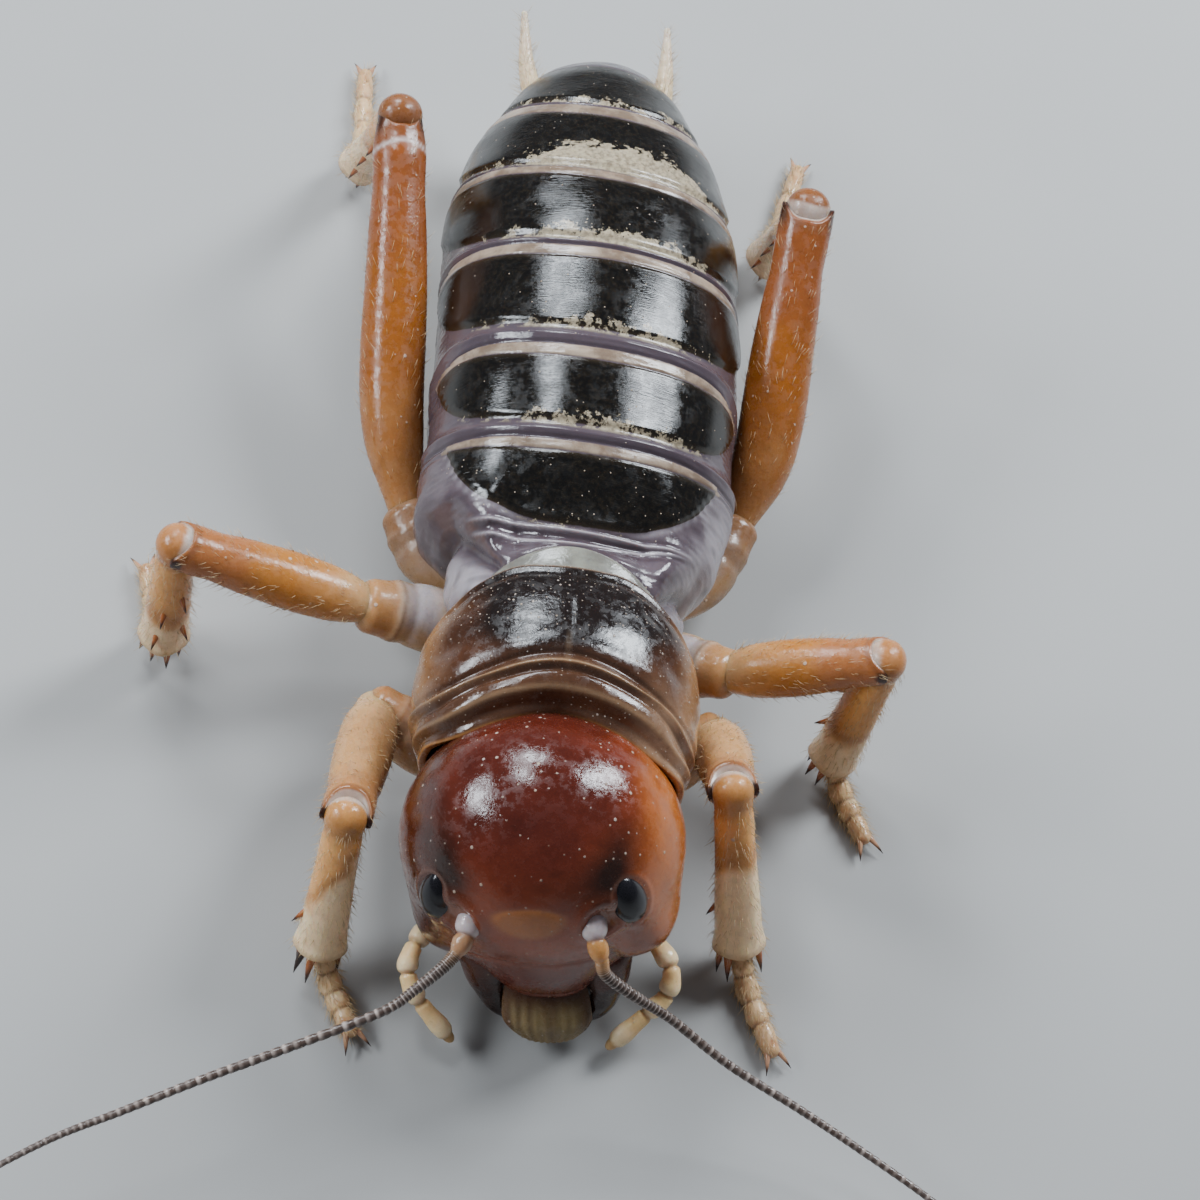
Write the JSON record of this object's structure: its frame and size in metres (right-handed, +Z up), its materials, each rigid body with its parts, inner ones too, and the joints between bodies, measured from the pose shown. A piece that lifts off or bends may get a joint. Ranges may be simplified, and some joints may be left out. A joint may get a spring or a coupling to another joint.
{
  "type": "jerusalem cricket model",
  "caption": "Still, life-size museum model of a Jerusalem cricket at rest, with a big round head, banded abdomen, spiny legs and long feelers.",
  "frame": {"origin": "on the floor, under the middle of the box round the whole animal, feelers and feet included", "axes": "+Z up, -Y towards the head, +Y towards the tail, +X towards the animal's left side"},
  "size_m": [0.0434, 0.0622, 0.0132],
  "materials": {
    "head_cuticle": "glossy translucent mahogany to amber cuticle",
    "face_cuticle": "glossy red-brown cuticle, paler at its lower edge",
    "eye_black": "very glossy black",
    "mandible_black": "glossy brown-black",
    "palp_cream": "soft-looking waxy cream",
    "feeler_brown": "dull grey-brown with pale rings",
    "pronotum_cuticle": "glossy dark brown with translucent amber edges",
    "membrane": "soft folded purple-grey skin with a wet sheen",
    "tergite_black": "glossy black bands with cream and mauve stripes between them",
    "leg_amber": "glossy translucent amber",
    "foot_beige": "glossy beige-amber with dark spurs and claws"
  },
  "bodies": {
    "root": {"abdomen": "tergite_black", "antenna_base_left": "feeler_brown", "antenna_base_right": "feeler_brown", "cercus_left": "palp_cream", "cercus_right": "palp_cream", "eye_left": "eye_black", "eye_right": "eye_black", "flagellum_inner_left": "feeler_brown", "flagellum_inner_right": "feeler_brown", "flagellum_outer_left": "feeler_brown", "flagellum_outer_right": "feeler_brown", "front_left_coxa": "leg_amber", "front_left_femur": "leg_amber", "front_left_tarsus": "foot_beige", "front_left_tibia": "leg_amber", "front_right_coxa": "leg_amber", "front_right_femur": "leg_amber", "front_right_tarsus": "foot_beige", "front_right_tibia": "leg_amber", "head": "head_cuticle", "hind_left_coxa": "leg_amber", "hind_left_femur": "leg_amber", "hind_left_tarsus": "foot_beige", "hind_left_tibia": "leg_amber", "hind_right_coxa": "leg_amber", "hind_right_femur": "leg_amber", "hind_right_tarsus": "foot_beige", "hind_right_tibia": "leg_amber", "labial_palp_left": "palp_cream", "labial_palp_right": "palp_cream", "labrum": "face_cuticle", "mandible_left": "mandible_black", "mandible_right": "mandible_black", "maxillary_palp_left": "palp_cream", "maxillary_palp_right": "palp_cream", "mid_left_coxa": "leg_amber", "mid_left_femur": "leg_amber", "mid_left_tarsus": "foot_beige", "mid_left_tibia": "leg_amber", "mid_right_coxa": "leg_amber", "mid_right_femur": "leg_amber", "mid_right_tarsus": "foot_beige", "mid_right_tibia": "leg_amber", "pronotum": "pronotum_cuticle", "prosternum": "membrane", "rear_thorax": "membrane"}
  },
  "joints": []
}
